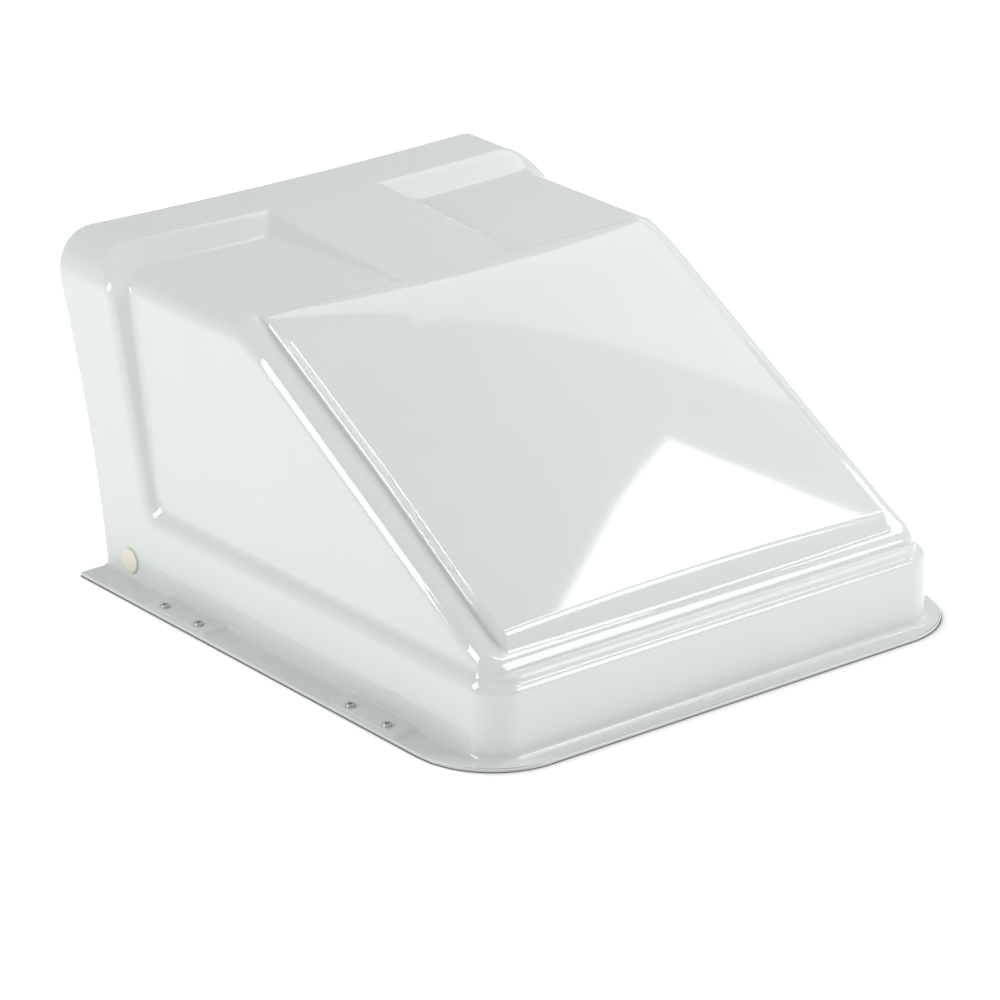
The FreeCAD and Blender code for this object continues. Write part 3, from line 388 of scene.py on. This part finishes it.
def skirt(point):
    """Outer and inner points of the flange, from the wall's foot at point out to the flange's edge."""
    x, y, _ = point
    edge_x, edge_y = flange_edge(x, y)
    width = math.hypot(edge_x - x, edge_y - y)
    way = ((edge_x - x) / width, (edge_y - y) / width)
    on_side = 1.0 if abs(edge_x) > FLANGE_HALF - 0.01 else 0.0
    pad = near_a_pad(y, *PAD_ENDS) * on_side
    nest = near_a_pad(y, *NEST_ENDS) * on_side
    top = FLANGE_THICK + (PAD_TOP - FLANGE_THICK) * pad
    under = NEST_TOP * nest
    fillet = FOOT - top

    def at(out, z):
        return x + way[0] * out, y + way[1] * out, z

    pairs = []
    for angle in SKIRT_FILLET:
        turn = math.radians(angle)
        out = fillet * (1.0 - math.cos(turn))
        part = angle / 90.0
        inner_z = FOOT + (under - FOOT) * min(1.0, part * 1.34)
        pairs.append((at(out, top + fillet * (1.0 - math.sin(turn))), at(-SKIN, inner_z)))
    for part in SKIRT_ACROSS:
        out = fillet + (width - fillet) * part
        in_nest = abs(x + way[0] * out) < FLANGE_HALF - 4.0
        on_pad = abs(x + way[0] * out) < FLANGE_HALF - 1.8
        pairs.append((
            at(out, top if on_pad else FLANGE_THICK),
            at(-SKIN + (out + SKIN) * (0.999 if in_nest else 1.0), under if in_nest else 0.0),
        ))
    pairs.append((at(width - 0.9, FLANGE_THICK), at(width - 1.2, 0.0)))
    pairs.append((at(width - 0.25, FLANGE_THICK - 0.35), at(width - 0.7, 0.0)))
    pairs.append((at(width, FLANGE_THICK - 1.1), at(width - 0.3, 0.25)))
    return pairs


def hood_sheet():
    """Outer points, inner points and quads of the hood as one sheet, and how many of the points the rays shaped.
    """
    starts, ways, grids, count = [], [], {}, 0
    for name in ("top", "front", "left", "right"):
        start, way = chart(name)
        grids[name] = np.arange(count, count + start[..., 0].size).reshape(start.shape[:-1])
        count += start[..., 0].size
        starts.append(start.reshape(-1, 3))
        ways.append(way.reshape(-1, 3))
    starts, ways = np.concatenate(starts), np.concatenate(ways)
    keys = np.round(np.concatenate([starts, ways * 100.0], 1), 3)
    _, first, same = np.unique(keys, axis=0, return_index=True, return_inverse=True)
    same = same.reshape(-1)
    start, way = starts[first], ways[first]
    roof_y = start[:, 1].copy()
    outer = reach(start, way, 0.0)
    for _ in range(3):
        start[:, 1] = follow(roof_y, outer[:, 0], outer[:, 2])
        outer = reach(start, way, 0.0)
    inner = reach(start, way, -SKIN)

    quads = []
    for name, grid in grids.items():
        ids = same[grid]
        a, b, c, d = ids[:-1, :-1], ids[1:, :-1], ids[1:, 1:], ids[:-1, 1:]
        order = (a, d, c, b) if name in ("top", "left") else (a, b, c, d)
        quads.append(np.stack([part.reshape(-1) for part in order], -1))
    quads = [tuple(int(n) for n in quad) for quad in np.concatenate(quads)]

    foot = []
    for side in (grids["left"][::-1], grids["front"][1:], grids["right"][1:]):
        foot += list(same[side[:, 0]])
    outer, inner = [tuple(p) for p in outer], [tuple(p) for p in inner]
    shaped = len(outer)
    last = [int(n) for n in foot]
    columns = [skirt(outer[n]) for n in last]
    for row in range(len(columns[0])):
        fresh = []
        for column in columns:
            fresh.append(len(outer))
            outer.append(column[row][0])
            inner.append(column[row][1])
        for n in range(len(last) - 1):
            quads.append((last[n], fresh[n], fresh[n + 1], last[n + 1]))
        last = fresh
    return outer, inner, quads, shaped


def mesh_object(name, points, faces, body, material):
    """A mesh in the row frame from points in millimetres, riding on a body."""
    mesh = bpy.data.meshes.new(name)
    mesh.from_pydata([Vector(p) * MM for p in points], [], faces)
    mesh.validate()
    mesh.materials.append(material)
    piece = bpy.data.objects.new(name, mesh)
    bpy.context.scene.collection.objects.link(piece)
    mesh.polygons.foreach_set("use_smooth", [True] * len(mesh.polygons))
    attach(piece, body)
    return piece


ROLL = ((0.12, 0.85), (0.5, 1.25), (0.88, 0.85))  # (share of the skin's thickness, bulge of the rear edge)


def hood_piece(material):
    """The hood moulding: the sheet's outer and inner points joined round its free edge."""
    outer, inner, quads, shaped = hood_sheet()
    total = len(outer)
    points = outer + inner
    faces = list(quads) + [tuple(total + n for n in reversed(quad)) for quad in quads]
    sides = {pair: None for quad in quads for pair in zip(quad, quad[1:] + quad[:1])}
    edge = [(a, b) for a, b in sides if (b, a) not in sides]
    rolls = {}
    for a, b in edge:
        for n in (a, b):
            if n in rolls:
                continue
            o, i = np.array(outer[n]), np.array(inner[n])
            rear = outer[n][1] > 200.0 and n < shaped
            loop = [n]
            for part, bulge in ROLL:
                loop.append(len(points))
                points.append(tuple(o + (i - o) * part + np.array([0.0, bulge if rear else 0.0, 0.0])))
            rolls[n] = loop + [total + n]
    for a, b in edge:
        for k in range(4):
            faces.append((rolls[b][k], rolls[a][k], rolls[a][k + 1], rolls[b][k + 1]))
    piece = mesh_object("hood_moulding", points, faces, "hood", material)
    mesh = piece.data
    normals = np.empty(len(mesh.vertices) * 3)
    mesh.vertices.foreach_get("normal", normals)
    normals = normals.reshape(-1, 3)
    normals[:shaped] = slope_of(np.array(outer[:shaped]))
    normals[total:total + shaped] = -slope_of(np.array(inner[:shaped]))
    mesh.normals_split_custom_set_from_vertices([Vector(n) for n in normals])
    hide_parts("hood_shell")
    return piece


# ---------------------------------------------------------------- materials

def new_material(name, colour, roughness, metallic=0.0):
    """A material with a Principled shader; returns the material, its node tree and the shader."""
    material = bpy.data.materials.new(name)
    material.use_nodes = True
    tree = material.node_tree
    shader = tree.nodes["Principled BSDF"]
    shader.inputs["Base Color"].default_value = (*colour, 1.0)
    shader.inputs["Roughness"].default_value = roughness
    shader.inputs["Metallic"].default_value = metallic
    return material, tree, shader


def noise(tree, scale, detail=4.0, stretch=(1.0, 1.0, 1.0)):
    """A noise texture over the object's own coordinates, in metres; returns its Fac socket."""
    place = tree.nodes.new("ShaderNodeTexCoord")
    fit = tree.nodes.new("ShaderNodeMapping")
    fit.inputs["Scale"].default_value = stretch
    texture = tree.nodes.new("ShaderNodeTexNoise")
    texture.inputs["Scale"].default_value = scale
    texture.inputs["Detail"].default_value = detail
    tree.links.new(place.outputs["Object"], fit.inputs["Vector"])
    tree.links.new(fit.outputs["Vector"], texture.inputs["Vector"])
    return texture.outputs["Fac"]


def spread(tree, factor, low, high):
    """Maps a 0 to 1 factor to the range low to high."""
    ramp = tree.nodes.new("ShaderNodeMapRange")
    ramp.inputs["From Min"].default_value = 0.3
    ramp.inputs["From Max"].default_value = 0.7
    ramp.inputs["To Min"].default_value = low
    ramp.inputs["To Max"].default_value = high
    tree.links.new(factor, ramp.inputs["Value"])
    return ramp.outputs["Result"]


def tint(tree, shader, factor, colour, other):
    """Mixes two base colours by a factor."""
    mix = tree.nodes.new("ShaderNodeMix")
    mix.data_type = "RGBA"
    mix.inputs["A"].default_value = (*colour, 1.0)
    mix.inputs["B"].default_value = (*other, 1.0)
    tree.links.new(factor, mix.inputs["Factor"])
    tree.links.new(mix.outputs["Result"], shader.inputs["Base Color"])


def relief(tree, shader, factors):
    """Bump from (factor, height in metres) pairs, one after another."""
    last = None
    for factor, height in factors:
        bump = tree.nodes.new("ShaderNodeBump")
        bump.inputs["Distance"].default_value = height
        bump.inputs["Strength"].default_value = 1.0
        tree.links.new(factor, bump.inputs["Height"])
        if last is not None:
            tree.links.new(last, bump.inputs["Normal"])
        last = bump.outputs["Normal"]
    tree.links.new(last, shader.inputs["Normal"])


def darker(colour, share):
    return tuple(part * share for part in colour)


def moulded(name, colour, roughness, mottle=0.97, grain=0.00001, wave=0.00003):
    """Moulded plastic: a slightly cloudy colour, uneven gloss, fine grain and a shallow shrinkage ripple."""
    material, tree, shader = new_material(name, colour, roughness)
    cloud = noise(tree, 14.0, 3.0)
    tint(tree, shader, spread(tree, cloud, 0.0, 1.0), colour, darker(colour, mottle))
    smear = noise(tree, 55.0, 5.0)
    tree.links.new(spread(tree, smear, roughness * 0.9, roughness * 1.12), shader.inputs["Roughness"])
    relief(tree, shader, [(noise(tree, 22.0, 1.0), wave), (noise(tree, 1500.0, 2.0), grain)])
    shader.inputs["IOR"].default_value = 1.5
    return material


def milky_plastic():
    """Glossy polyethylene that lets some light in."""
    material = moulded("hood_white", HOOD_COLOUR, 0.045, mottle=0.985, grain=0.0, wave=0.00001)
    shader = material.node_tree.nodes["Principled BSDF"]
    shader.inputs["Subsurface Weight"].default_value = 0.12
    shader.inputs["Subsurface Radius"].default_value = (1.0, 0.95, 0.85)
    shader.inputs["Subsurface Scale"].default_value = 0.004
    return material


def metal(name, colour, roughness, grain_way):
    """Metal with fine lines drawn along one direction and slightly uneven gloss."""
    material, tree, shader = new_material(name, colour, roughness, metallic=1.0)
    lines = noise(tree, 900.0, 6.0, grain_way)
    patches = noise(tree, 60.0, 3.0)
    tint(tree, shader, spread(tree, patches, 0.0, 1.0), colour, darker(colour, 0.86))
    tree.links.new(spread(tree, lines, roughness * 0.75, roughness * 1.35), shader.inputs["Roughness"])
    relief(tree, shader, [(lines, 0.00002)])
    return material


HOOD_COLOUR = (0.62, 0.655, 0.645)
MATERIALS = {
    "hood_white": milky_plastic(),
    "door_white": moulded("door_white", (0.66, 0.68, 0.67), 0.42, mottle=0.96, grain=0.00002),
    "screen_mesh": moulded("screen_mesh", (0.035, 0.036, 0.037), 0.5, mottle=0.7),
    "bracket_metal": metal("bracket_metal", (0.62, 0.63, 0.64), 0.38, (1.0, 0.04, 1.0)),
    "steel": metal("steel", (0.58, 0.58, 0.57), 0.3, (1.0, 1.0, 0.2)),
    "spring_steel": metal("spring_steel", (0.52, 0.52, 0.5), 0.26, (0.1, 1.0, 1.0)),
    "ivory_nylon": moulded("ivory_nylon", (0.70, 0.70, 0.58), 0.3, mottle=0.95),
    "nylon": moulded("nylon", (0.72, 0.71, 0.66), 0.4),
    "knob_grey": moulded("knob_grey", (0.055, 0.058, 0.062), 0.45, mottle=0.8, grain=0.00004),
}


# ---------------------------------------------------------------- pieces

SLOTS = {sub["node"]: sub["material_slot"] for sub in frame["record"]["subparts"]}
BODIES = {node: body for body, nodes in frame["record"]["behaviour"]["bodies"].items() for node in nodes}


def paint_nodes():
    """Every CAD node gets its slot's detailed material."""
    for node, thing in frame["nodes"].items():
        for slot in thing.material_slots:
            slot.material = MATERIALS[SLOTS[node]]


def soft_edged(node, width):
    """A copy of a CAD node whose sharp edges are rounded, as moulding or tumbling leaves them."""
    mesh = frame["nodes"][node].data.copy()
    mesh.name = node + "_soft"
    work = bmesh.new()
    work.from_mesh(mesh)
    bmesh.ops.remove_doubles(work, verts=work.verts, dist=1e-6)
    bmesh.ops.dissolve_limit(work, angle_limit=math.radians(0.6), verts=work.verts, edges=work.edges)
    work.to_mesh(mesh)
    work.free()
    piece = bpy.data.objects.new(node + "_soft", mesh)
    bpy.context.scene.collection.objects.link(piece)
    mesh.polygons.foreach_set("use_smooth", [True] * len(mesh.polygons))
    mesh.materials.clear()
    mesh.materials.append(MATERIALS[SLOTS[node]])
    bevel = piece.modifiers.new("rounding", "BEVEL")
    bevel.width = width * MM
    bevel.segments = 2
    bevel.limit_method = "ANGLE"
    bevel.angle_limit = math.radians(35)
    bevel.use_clamp_overlap = True
    even = piece.modifiers.new("even", "WEIGHTED_NORMAL")
    even.keep_sharp = True
    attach(piece, BODIES[node])
    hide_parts(node)
    return piece


def door_frame(u, w, v):
    """The row-frame point of (u across, w rearwards, v up) in the door's own frame, in millimetres."""
    x, y, z = (value / MM for value in DOOR_JOINT["pos_m"])
    return (
        x + u,
        y + w * math.cos(DOOR_LEAN) + v * math.sin(DOOR_LEAN),
        z - w * math.sin(DOOR_LEAN) + v * math.cos(DOOR_LEAN),
    )


DOOR_JOINT = next(joint for joint in frame["joints"] if joint["name"] == "door_hinge")
LATCH_JOINT = next(joint for joint in frame["joints"] if joint["name"] == "latch_left_turn")
DOOR_LEAN = math.atan2(LATCH_JOINT["axis"][2], -LATCH_JOINT["axis"][1])


def insect_screen():
    """A mesh of round wires, one layer across the other."""
    pitch, wire, sides = 1.6, 0.17, 6
    half, low, high, depth = 202.4, 3.1, 212.9, -5.8
    points, faces = [], []

    def strand(start, end, across, out):
        base = len(points)
        for end_point in (start, end):
            for n in range(sides):
                turn = 2 * math.pi * n / sides
                aside, off = wire * math.cos(turn), wire * math.sin(turn)
                points.append(tuple(end_point[k] + aside * across[k] + off * out[k] for k in range(3)))
        for n in range(sides):
            m = (n + 1) % sides
            faces.append((base + n, base + m, base + sides + m, base + sides + n))
        faces.append(tuple(base + n for n in reversed(range(sides))))
        faces.append(tuple(base + sides + n for n in range(sides)))

    out = tuple(b - a for a, b in zip(door_frame(0, 0, 0), door_frame(0, 1, 0)))
    up = tuple(b - a for a, b in zip(door_frame(0, 0, 0), door_frame(0, 0, 1)))
    for n in range(int(2 * half / pitch) + 1):
        u = -half + n * pitch
        strand(door_frame(u, depth - wire, low), door_frame(u, depth - wire, high), (1, 0, 0), out)
    for n in range(int((high - low) / pitch) + 1):
        v = low + n * pitch
        strand(door_frame(-half, depth + wire, v), door_frame(half, depth + wire, v), up, out)
    piece = mesh_object("insect_mesh", points, faces, "louvre_door", MATERIALS["screen_mesh"])
    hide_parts("insect_screen")


def door_stop():
    """The rib moulded inside the mouth, which the closed door rests against."""
    rear, deep, edge = -8.5, 3.0, 0.8
    foot, straight_top, turns = 22.0, 120.0, 12

    def path(half, top, radius):
        """Half the arch from the left leg's foot over the top to the right leg's foot, as (u, v)."""
        line = [(-half, foot), (-half, straight_top)]
        for n in range(turns + 1):
            turn = math.pi / 2 * n / turns
            line.append((-half + radius * (1 - math.cos(turn)), top - radius * (1 - math.sin(turn))))
        return line + [(-u, v) for u, v in reversed(line)]

    outer = path(217.0, 248.0, 34.5)
    inner = path(204.5, 235.5, 24.0)
    points, faces = [], []
    for (ou, ov), (iu, iv) in zip(outer, inner):
        length = math.hypot(iu - ou, iv - ov)
        step = ((iu - ou) / length, (iv - ov) / length)
        ring = []
        for out, w in (
            (0.0, rear), (length - edge, rear), (length, rear - edge), (length, rear - deep + edge),
            (length - edge, rear - deep), (0.0, rear - deep),
        ):
            ring.append(door_frame(ou + step[0] * out, w, ov + step[1] * out))
        points.extend(ring)
    count = 6
    for n in range(len(outer) - 1):
        for k in range(count):
            m = (k + 1) % count
            faces.append((n * count + k, n * count + m, (n + 1) * count + m, (n + 1) * count + k))
    faces.append(tuple(reversed(range(count))))
    faces.append(tuple((len(outer) - 1) * count + k for k in range(count)))
    piece = mesh_object("door_stop_rib", points, faces, "hood", MATERIALS["hood_white"])
    even = piece.modifiers.new("even", "WEIGHTED_NORMAL")
    even.keep_sharp = True
    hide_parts("hood_shell")


paint_nodes()
hood_piece(MATERIALS["hood_white"])
door_stop()
insect_screen()
soft_edged("louvre_grille", 0.6)
soft_edged("screen_retainer", 0.25)
for node in ("bracket_front_left", "bracket_front_right", "bracket_rear_left", "bracket_rear_right"):
    soft_edged(node, 0.3)
for node in ("latch_tongue_left", "latch_tongue_right"):
    soft_edged(node, 0.25)

# ---------------------------------------------------------------- camera, floor and lights

TARGET = Vector((1.23, -1.17, 71.21)) * MM
AZIMUTH, ELEVATION = math.radians(-38.49), math.radians(21.93)
DISTANCE = 3.9238
LENS = 182.39


def add_camera():
    back = Vector((
        math.sin(AZIMUTH) * math.cos(ELEVATION),
        -math.cos(AZIMUTH) * math.cos(ELEVATION),
        math.sin(ELEVATION),
    ))
    camera = bpy.data.objects.new("camera", bpy.data.cameras.new("camera"))
    camera.data.lens = LENS
    camera.data.sensor_width = 36.0
    camera.location = TARGET + back * DISTANCE
    camera.rotation_euler = back.to_track_quat("Z", "Y").to_euler()
    bpy.context.scene.collection.objects.link(camera)
    bpy.context.scene.camera = camera


def add_floor():
    """A white floor that glows evenly, except in a narrow contact shadow close to the object."""
    material, tree, shader = new_material("floor_white", FLOOR_COLOUR, 0.9)
    shader.inputs["Specular IOR Level"].default_value = 0.0
    shader.inputs["Emission Color"].default_value = (1.0, 1.0, 1.0, 1.0)
    openness = tree.nodes.new("ShaderNodeAmbientOcclusion")
    openness.inputs["Distance"].default_value = SHADOW_REACH
    glow = tree.nodes.new("ShaderNodeMapRange")
    glow.inputs["From Min"].default_value = FULL_SHADOW
    glow.inputs["From Max"].default_value = NO_SHADOW
    glow.inputs["To Min"].default_value = 0.0
    glow.inputs["To Max"].default_value = FLOOR_GLOW
    tree.links.new(openness.outputs["AO"], glow.inputs["Value"])
    tree.links.new(glow.outputs["Result"], shader.inputs["Emission Strength"])
    mesh = bpy.data.meshes.new("floor")
    half = FLOOR_HALF
    corners = [(-half, -half, 0), (half, -half, 0), (half, half, 0), (-half, half, 0)]
    mesh.from_pydata(corners, [], [(0, 1, 2, 3)])
    mesh.materials.append(material)
    floor = bpy.data.objects.new("floor", mesh)
    bpy.context.scene.collection.objects.link(floor)


def add_world(strength):
    world = bpy.data.worlds.new("studio")
    world.use_nodes = True
    world.node_tree.nodes["Background"].inputs["Color"].default_value = (1.0, 1.0, 1.0, 1.0)
    world.node_tree.nodes["Background"].inputs["Strength"].default_value = strength
    bpy.context.scene.world = world


def softbox(name, middle, along, across, radiance):
    """An area light with the given middle and half-edge vectors, in metres, shining down its own normal."""
    along, across = Vector(along), Vector(across)
    light = bpy.data.lights.new(name, "AREA")
    light.shape = "RECTANGLE"
    light.size = 2 * along.length
    light.size_y = 2 * across.length
    light.energy = radiance * math.pi * light.size * light.size_y
    lamp = bpy.data.objects.new(name, light)
    x_axis, y_axis = along.normalized(), across.normalized()
    z_axis = x_axis.cross(y_axis)
    turn = Matrix((x_axis, y_axis, z_axis)).transposed().to_4x4()
    lamp.matrix_world = Matrix.Translation(Vector(middle)) @ turn
    bpy.context.scene.collection.objects.link(lamp)
    return lamp


FLOOR_HALF = 12.0
FLOOR_COLOUR = (0.1, 0.1, 0.1)
FLOOR_GLOW = 1.2
SHADOW_REACH = 0.035
FULL_SHADOW = 0.55  # openness of the floor at which its glow is gone
NO_SHADOW = 0.98  # openness from which on it is whole
add_camera()
add_floor()
add_world(0.55)
# overhead box whose front edge draws the wave across the sloping panel
softbox("overhead", (1.538, 0.65, 1.5), (0.78, -0.07, 0.0), (0.0575, 0.64, 0.0), 1.15)
# front boxes whose corner draws the bright patch low on the panel
softbox("patch_left", (0.9156, -0.340, 1.5), (0.278, 0.113, 0.0), (-0.0566, 0.139, 0.0), 7.5)
softbox("patch_right", (1.3734, -0.2962, 1.5), (0.27, -0.062, 0.0), (0.0336, 0.1462, 0.0), 7.5)
# box on the left that draws the line along the near side's sloping edge
softbox("left", (-1.75, 0.52, 1.05), (-0.094, -0.181, -0.065), (0.2105, -0.2825, 0.483), 9.0)
# box in front on the right, which lights the front wall and draws the lines along its steps
softbox("front", (1.192, -1.761, 1.50), (0.392, 0.311, 0.0), (-0.187, 0.2357, 0.40), 7.0)

bpy.context.scene.view_settings.view_transform = "Standard"
